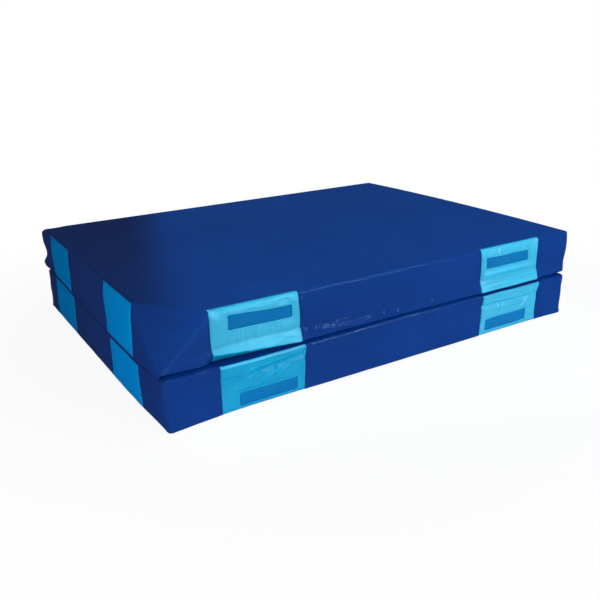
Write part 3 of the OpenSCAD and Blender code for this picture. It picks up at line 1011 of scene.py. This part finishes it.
cover_navy = coated_fabric("cover_navy", NAVY)
cover_corner = coated_fabric("cover_corner", NAVY, 0.036, 0.5)
cover_light = coated_fabric("cover_light", LIGHT, 0.20, 0.45)
# The lower front left panel: matt as if worn, and deeper in colour as painted shade
cover_dull_shaded = coated_fabric("cover_dull_shaded", DULL_SHADED, 0.05, 0.25)
# Painted shade: a darker, matt copy of the light fabric, for where a front panel turns under
cover_shaded_under = coated_fabric("cover_shaded_under", UNDER_SHADE, 0.008, 0.4)
cover_side = coated_fabric("cover_side", SIDE, 0.008, 0.3)
cover_landing = coated_fabric("cover_landing", NAVY, 0.008, 0.4, 2.2)
thread_navy = woven("thread_navy", (rgb(16, 40, 104), rgb(30, 62, 140)), 0.5 * MM, 0.6)
thread_light = woven("thread_light", (rgb(60, 160, 210), rgb(96, 190, 232)), 0.5 * MM, 0.6)
vent_thread = woven("vent_thread", (rgb(0, 118, 176), rgb(0, 134, 194)), 0.6 * MM, 0.5)
tape_weave = woven("tape_weave", (rgb(12, 18, 44), rgb(22, 34, 72)), 0.9 * MM)
zip_plastic = moulded("zip_plastic", rgb(20, 30, 62))
zip_metal = plated_metal("zip_metal", rgb(196, 198, 200))
soft_foam = foam("soft_foam", (rgb(190, 178, 140), rgb(236, 228, 196)))
firm_foam = foam("firm_foam", (rgb(120, 130, 136), rgb(176, 186, 190)))

# ---------------------------------------------------------------- the sections


# Pieces whose coating is worn and matt: the collapsed corner, and the lower light panel beside it, which is
# also painted deeper as shade
WORN_AND_SHADED = {"upper_left_front_corner": cover_corner, "lower_front_left_panel": cover_dull_shaded}


def panel_pieces(section):
    """The panels that the wall is sewn from, each a sheet of its own."""
    zip_low, zip_high = section.zip_z - SLOT_HALF, section.zip_z + SLOT_HALF
    zip_hole = on_back(section.zip_half), on_back(-section.zip_half), zip_low, zip_high
    for name, low, high in zip(PANELS, section.ends, section.ends[1:]):
        front = name.startswith("front_")
        holes = [zip_hole] if name == "back_wall" else section.vents if front else []
        mesh = patch(section, low, high, holes)
        if name.endswith("_panel"):
            if front and not section.landing_up:
                cut_at_nose(section, mesh)
            paint_rolls(section, mesh, side=not front)
            slot, fabric = "light_cover", cover_light if front else cover_side
            rest = cover_navy, cover_shaded_under, cover_light
        else:
            slot, fabric, rest = "navy_cover", cover_navy, ()
        fabric = WORN_AND_SHADED.get(f"{section.name}_{name}", fabric)
        obj = add_piece(section, name + "_cover", mesh, slot, fabric, *rest, node=name)
        thicken(obj)


def cut_at_nose(section, mesh):
    """Cuts a panel's faces where its cover turns under, so that its glossy coating and the darker, matt
    painted shade below it meet in a clean line.
    """
    form = bmesh.new()
    form.from_mesh(mesh)
    metres = form.loops.layers.uv["metres"]
    place = form.verts.layers.float_vector.new("place")
    for vert in form.verts:
        vert[place] = vert.co
        vert.co = (*vert.link_loops[0][metres].uv, 0)
    low, high = (Vector((s, up_wall(nose_height(section, s)), 0)) for s in section.ends[5:7])
    across = Vector((low.y - high.y, high.x - low.x, 0))
    everything = [*form.verts, *form.edges, *form.faces]
    bmesh.ops.bisect_plane(form, geom=everything, plane_co=low, plane_no=across)
    for vert in form.verts:
        vert.co = vert[place]
    form.verts.layers.float_vector.remove(place)
    form.to_mesh(mesh)
    form.free()


def paint_rolls(section, mesh, side):
    """Gives a light panel's landing roll, and a side panel's base roll, the navy binding.

    Where a front panel turns under, its coating is matt and painted darker as shade, and its bevel below the
    landing rim takes the paler, glossy light fabric, partly a painted highlight.
    """
    corners = mesh.uv_layers["metres"].data
    for face in mesh.polygons:
        s, t = np.mean([corners[k].uv for k in face.loop_indices], axis=0)
        up = t if section.landing_up else RISE - t
        landing_roll = up > RISE - ROLL * 0.7
        base_roll = side and up < ROLL * 0.55
        # Painted shade: faces below the nose take the darker, matt fabric
        under = not side and not section.landing_up and t < up_wall(nose_height(section, s))
        # Painted highlight, in part: the bevel below the landing rim takes the paler, glossy light fabric
        bevelled = not side and up > RISE - ROLL - 5 * MM and section.landing_up
        face.material_index = 1 if landing_roll or base_roll else 2 if under else 3 if bevelled else 0


def sheet_pieces(section):
    """The base sheet and the landing sheet, tucked under the wall's rolled edges."""
    # The grid's step, the height of the crown, and the tuck
    shown = 22 * MM, 7 * MM, 1.5 * MM
    hidden = 40 * MM, 0, 5 * MM
    base_mesh = face_sheet(section, not section.landing_up, *(hidden if section.landing_up else shown))
    landing_mesh = face_sheet(section, section.landing_up, *hidden)
    for part, mesh, fabric in (("base", base_mesh, cover_navy), ("landing", landing_mesh, cover_landing)):
        obj = add_piece(section, part + "_sheet_cover", mesh, part + "_cover", fabric, node=part + "_sheet")
        thicken(obj)


def foam_pieces(section):
    """The two foam layers inside the cover, a little smaller than it everywhere."""
    inset, rim = 14 * MM, 8 * MM
    soft, firm = ("foam_core", "foam", soft_foam), ("foam_topper", "firm_foam", firm_foam)
    below, above = (soft, firm) if section.landing_up else (firm, soft)
    x, y = sheet_grid(40 * MM, inset)
    for (part, slot, material), bottom, top in (
        (below, 4 * MM, section.crease - 1 * MM), (above, section.crease + 1 * MM, HEIGHT - 4 * MM)
    ):
        levels = []
        for z, pull in ((bottom, rim), (bottom + rim, 0), (top - rim, 0), (top, rim)):
            level = np.stack([x * (1 - pull / HALF_X), y * (1 - pull / HALF_Y), np.full(x.shape, z)], -1)
            level = press(section, level + rim_give(section, x, y, np.full(x.shape, z)), inset)
            levels.append(level + np.array([0, 0, section.z0]))
        obj = add_piece(section, part + "_block", block_mesh(levels), slot, material, node=part)


def block_mesh(levels):
    """A closed block: the first level's grid below, the last one's above, and their edges joined."""
    points = [level.reshape(-1, 3) for level in levels]
    size = len(points[0])
    index = np.arange(size).reshape(levels[0].shape[:2])
    edge = np.concatenate([index[:, 0], index[-1, 1:], index[-2::-1, -1], index[0, -2:0:-1]])
    flat = grid_faces(*index.shape).reshape(-1, 4)
    faces = [flat[:, ::-1], flat + size]
    between = [2 * size + k * len(edge) + np.arange(len(edge)) for k in range(len(levels) - 2)]
    rings = [edge, *between, edge + size]
    for low, high in zip(rings, rings[1:]):
        faces.append(np.stack([low, np.roll(low, -1), np.roll(high, -1), high], -1))
    vertices = np.concatenate([points[0], points[-1], *(level[edge] for level in points[1:-1])])
    return new_mesh(vertices, np.concatenate(faces).tolist())


def vent_pieces(section):
    """The air vents: a coarse mesh of flat threads behind each window."""
    half_pitch, lap, behind = 2.5 * MM, 4 * MM, 2.3 * MM
    rise, half_thick = 0.45 * MM, 0.42 * MM
    for side, (low, high, bottom, top) in zip(("left", "right"), section.vents):
        columns = np.arange(low - lap, high + lap, half_pitch)
        rows = up_wall(np.arange(bottom - lap, top + lap, half_pitch))
        s, t = np.meshgrid(columns, rows, indexing="ij")
        points, normal = on_wall(section, s, t, -behind)
        i, j = np.arange(len(columns))[:, None], np.arange(len(rows))
        over = normal * (rise * np.sin(math.pi / 2 * i) * np.sin(math.pi / 2 * (j + 1)))[..., None]
        across = points[1:] - points[:-1]
        across = unit(np.concatenate([across, across[-1:]]))
        upward = np.cross(normal, across)
        weft, warp = points + over, points - over
        lines = [(weft[:, k], upward[:, k], normal[:, k]) for k in range(0, len(rows), 2)]
        lines += [(warp[k], across[k], normal[k]) for k in range(1, len(columns), 2)]
        node, mesh = side + "_vent_mesh", sweep(lines, 4, half_pitch, half_thick)
        add_piece(section, node + "_weave", mesh, "vent_mesh", vent_thread, node=node, smooth_faces=False)


# Half the width and half the thickness of a stitch, and how far beside its seam it lies
THREAD = (0.55 * MM, 0.5 * MM)
SEAM_SIDE = 5.5 * MM


def stitch_pieces(section):
    """Rows of stitches beside the panels' seams, along both rims and round the vent windows."""
    navy, light = [], []
    flat = np.linspace(1.1 * ROLL, RISE - 1.1 * ROLL, 12)
    for index, end in enumerate(section.ends[1:], 1):
        light_after = index < len(PANELS) and PANELS[index].endswith("_panel")
        for side in (-1, 1):
            lines = light if (side > 0) == light_after else navy
            lines.extend(stitch_lines(section, [(end + side * SEAM_SIDE, t) for t in flat]))
    gap = 5 * MM
    for low, high, bottom, top in section.vents:
        a, b, c, d = low - gap, high + gap, up_wall(bottom - gap), up_wall(top + gap)
        corners = [(a, c), (b, c), (b, d), (a, d), (a, c)]
        for path in zip(corners, corners[1:]):
            light += stitch_lines(section, path)
    for name, low, high in zip(PANELS, section.ends, section.ends[1:]):
        base_thread = light if name in ("front_left_panel", "front_right_panel") else navy
        inner = np.linspace(low + 4 * MM, high - 4 * MM, max(2, int((high - low) / 0.02)))
        low_thread, high_thread = (base_thread, navy) if section.landing_up else (navy, base_thread)
        for lines, t in ((low_thread, 0.62 * ROLL), (high_thread, RISE - 0.62 * ROLL)):
            lines.extend(stitch_lines(section, [(s, t) for s in inner], 9 * MM))
    for kind, lines, thread in (("navy", navy, thread_navy), ("light", light, thread_light)):
        add_piece(section, "stitches_" + kind, sweep(lines, 5, *THREAD), kind + "_cover", thread)


def zip_pieces(section):
    """The zip in the back wall: two woven tapes, two rows of teeth and a stop at each end."""
    low, high = section.box("zip_chain")
    tape_low, tape_high = section.box("zip_tapes")
    middle, depth = (low.z + high.z) / 2, (low.y + high.y) / 2
    row_width, half_deep = (high.z - low.z) / 2, (high.y - low.y) / 2
    ahead, upward = (1, 0, 0), (0, 0, 1)
    pitch, half_tooth, stop = 3.2 * MM, 1.05 * MM, 6 * MM
    near, far = 0.6 * MM, row_width - 0.2 * MM
    teeth = []
    for k in range(int((high.x - low.x - 2 * stop) / pitch)):
        for side in (-1, 1):
            x = low.x + stop + (k + 0.5 + side / 4) * pitch
            tooth = [(x, depth, middle + side * out) for out in (near, (near + far) / 2, far)]
            teeth.append(bar(tooth, ahead))
    mesh = sweep(teeth, 6, half_tooth, half_deep)
    add_piece(section, "zip_teeth", mesh, "zip_teeth", zip_plastic, node="zip_chain", smooth_faces=False)
    inner, outer = 0.4 * MM, stop - 0.6 * MM
    stops = [
        bar([(end + sign * reach, depth, middle) for reach in (inner, outer)], upward)
        for end, sign in ((low.x, 1), (high.x, -1))
    ]
    mesh = sweep(stops, 8, row_width, half_deep)
    soften_edges(add_piece(section, "zip_stops", mesh, "zip_metal", zip_metal), 0.3 * MM)
    x = np.linspace(tape_low.x, tape_high.x, 240)
    tapes = []
    for z in ((tape_low.z + low.z) / 2, (high.z + tape_high.z) / 2):
        tapes.append(bar([(place, (tape_low.y + tape_high.y) / 2, z) for place in x], upward))
    half_width, half_thick = (low.z - tape_low.z) / 2, (tape_high.y - tape_low.y) / 2
    mesh = sweep(tapes, 4, half_width * math.sqrt(2), half_thick * math.sqrt(2))
    add_piece(section, "zip_tape_weave", mesh, "zip_tape", tape_weave, node="zip_tapes", smooth_faces=False)
    for part in ("zip_slider", "zip_pull"):
        node = frame["nodes"][f"{section.name}_{part}"]
        node.data.materials.clear()
        node.data.materials.append(zip_metal)
        soften_edges(node, 0.25 * MM)


def soften_edges(obj, width):
    modifier = obj.modifiers.new("soft_edges", "BEVEL")
    modifier.width = width
    modifier.segments = 2
    modifier.limit_method = "ANGLE"


def hinge_piece(lower, upper):
    """The strip that joins both sections, sewn to their back walls and bowed out between its seams."""
    low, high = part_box("hinge_strip")
    # Half the height of the strip's free part, and how far its sewn edges lie off the back walls
    middle, span, lift = PIVOT.z, 33.3 * MM, 1.1 * MM
    x = np.arange(low.x, high.x + 1e-6, 10 * MM)
    reach = PIVOT.y - HALF_Y + ripple(np.random.default_rng(41), x, np.zeros_like(x), 12, 0.09, 0.7 * MM)
    heights = np.concatenate([
        np.linspace(low.z, middle - span, 4), middle + span * np.linspace(-1, 1, 17)[1:-1],
        np.linspace(middle + span, high.z, 4),
    ])

    def on_back_at(z):
        section = lower if z < middle else upper
        return on_wall(section, on_back(x), up_wall(z - section.z0), lift)[0][:, 1]

    rows = []
    for z in heights:
        away = max(span, abs(z - middle))
        sewn_low, sewn_high = on_back_at(middle - away), on_back_at(middle + away)
        share = np.clip((z - middle) / span, -1, 1)
        sewn = sewn_low + (sewn_high - sewn_low) * (share + 1) / 2
        y = sewn + (HALF_Y + reach - sewn) * (1 - share**2) ** 0.8
        rows.append(np.stack([x, y, np.full_like(x, z)], -1))
    mesh = grid_mesh(np.stack(rows, 1)[::-1])
    set_uv(mesh, *np.meshgrid(x[::-1], heights, indexing="ij"))
    strip = make_piece("hinge_strip_cover", mesh, "navy_cover", cover_navy)
    thicken(strip, 1.2 * MM)
    apply_modifiers(strip)
    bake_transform(strip)
    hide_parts("hinge_strip")
    seam = np.linspace(high.x - 4 * MM, low.x + 4 * MM, 60)
    for section, edge, inward in ((lower, low.z, 1), (upper, high.z, -1)):
        lines = []
        for row in (3.5 * MM, 10 * MM):
            path = [(on_back(v), up_wall(edge + inward * row - section.z0)) for v in seam]
            for points, side, normal in stitch_lines(section, path, 8 * MM):
                lines.append((points + normal * 1.3 * MM, side, normal))
        add_piece(section, "hinge_stitches", sweep(lines, 5, *THREAD), "navy_cover", thread_navy)


def apply_modifiers(obj):
    """Bakes the modifiers into the mesh."""
    shaped = obj.evaluated_get(bpy.context.evaluated_depsgraph_get())
    mesh = bpy.data.meshes.new_from_object(shaped)
    obj.modifiers.clear()
    obj.data = mesh


sections = [Section("lower", True), Section("upper", False)]
for section in sections:
    build_wall(section)
    panel_pieces(section)
    sheet_pieces(section)
    foam_pieces(section)
    vent_pieces(section)
    stitch_pieces(section)
    zip_pieces(section)
hinge_piece(*sections)

# ---------------------------------------------------------------- floor, backdrop, camera and light


def seen_directly(n):
    """1 for rays from the camera and for mirror and glass rays, 0 for those that light the scene."""
    path = n.add("LightPath").outputs
    sharp = n.math("MAXIMUM", path["Is Glossy Ray"], path["Is Transmission Ray"])
    return n.math("MAXIMUM", path["Is Camera Ray"], sharp)


def studio_white(name):
    """A white floor that takes the object's shadow nearby, and looks plain white to the camera."""
    n = Nodes(name)
    speckle = n.ramp(n.noise(n.place, 60.0, 3, 0.5), 0.3, 0.7, 0.90, 0.93)
    n.set(Base_Color=n.add("CombineColor", {0: speckle, 1: speckle, 2: speckle}).outputs[0], Roughness=0.9)
    glow = n.add("Emission", {"Color": (1, 1, 1, 1), "Strength": 1.0}).outputs[0]
    far = n.ramp(n.add("VectorMath", {0: n.place}, operation="LENGTH").outputs["Value"], 1.2, 2.2, 0.93, 1.0)
    share = n.math("MULTIPLY", seen_directly(n), far)
    mixed = n.add("MixShader", {0: share, 1: n.surface.outputs[0], 2: glow}).outputs[0]
    n.tree.links.new(mixed, n.tree.nodes["Material Output"].inputs["Surface"])
    return n.material


def make_floor():
    size, z = 30.0, -1 * MM
    corners = np.array([(-size, -size, z), (size, -size, z), (size, size, z), (-size, size, z)])
    mesh = new_mesh(corners, [(0, 1, 2, 3)])
    mesh.materials.append(studio_white("studio_white"))
    link(bpy.data.objects.new("floor", mesh))


def make_world():
    world = bpy.data.worlds.new("studio")
    bpy.context.scene.world = world
    world.use_nodes = True
    n = Nodes.__new__(Nodes)
    n.tree = world.node_tree
    lit = n.tree.nodes["Background"]
    lit.inputs["Color"].default_value = (0.82, 0.86, 1.0, 1)
    lit.inputs["Strength"].default_value = 0.20
    seen = n.add("Background", {"Color": (1, 1, 1, 1), "Strength": 1.0}).outputs[0]
    blend = n.add("MixShader", {0: seen_directly(n), 1: lit.outputs[0], 2: seen}).outputs[0]
    n.tree.links.new(blend, n.tree.nodes["World Output"].inputs["Surface"])


def aim(obj, target, roll):
    """Turns an object so that it looks at a point, leaning by roll."""
    back = (obj.location - Vector(target)).to_track_quat("Z", "Y").to_matrix().to_4x4()
    turned = back @ Matrix.Rotation(roll, 4, "Z")
    obj.rotation_euler = turned.to_euler()


def softbox(name, place, target, size, power, colour=(1, 1, 1), spread=180, roll=0.0, mirrored=True):
    """A rectangular light that shines from a place at a target."""
    light = bpy.data.lights.new(name, "AREA")
    light.shape = "RECTANGLE"
    light.size, light.size_y = size
    light.energy = power
    light.color = colour
    light.spread = math.radians(spread)
    obj = link(bpy.data.objects.new(name, light))
    obj.location = place
    obj.visible_glossy = mirrored
    aim(obj, target, roll)


def make_camera():
    data = bpy.data.cameras.new("camera")
    data.sensor_width = 36
    data.lens = 42.2
    camera = link(bpy.data.objects.new("camera", data))
    camera.location = (-1.700, -2.772, 1.234)
    aim(camera, (-0.215, -0.366, 0.201), math.radians(-1.06))
    bpy.context.scene.camera = camera


make_floor()
make_world()
make_camera()
softbox("key", (1.5, -3.0, 1.95), (-0.2, -0.75, 0.25), (1.4, 0.14), 32, (0.55, 0.93, 1.12))
softbox("front", (1.75, -3.9, 1.16), (1.65, -0.75, 0.3), (2.9, 0.42), 37, (0.6, 0.97, 1.08))
softbox("corner", (-2.3, -2.0, 0.9), (-0.95, -0.75, 0.2), (0.8, 0.8), 2.6, (0.8, 0.95, 1.15), 70)
softbox(
    "above", (0.37, 0.05, 2.4), (0.37, 0.05, 0.4), (2.0, 2.8), 9.8,
    spread=9, roll=math.radians(-18), mirrored=False,
)
softbox("left_fill", (-4.0, -0.3, 1.2), (-0.6, 0.0, 0.2), (1.5, 1.5), 3.6, (0.45, 0.85, 1.4))
bpy.context.scene.view_settings.view_transform = "Standard"
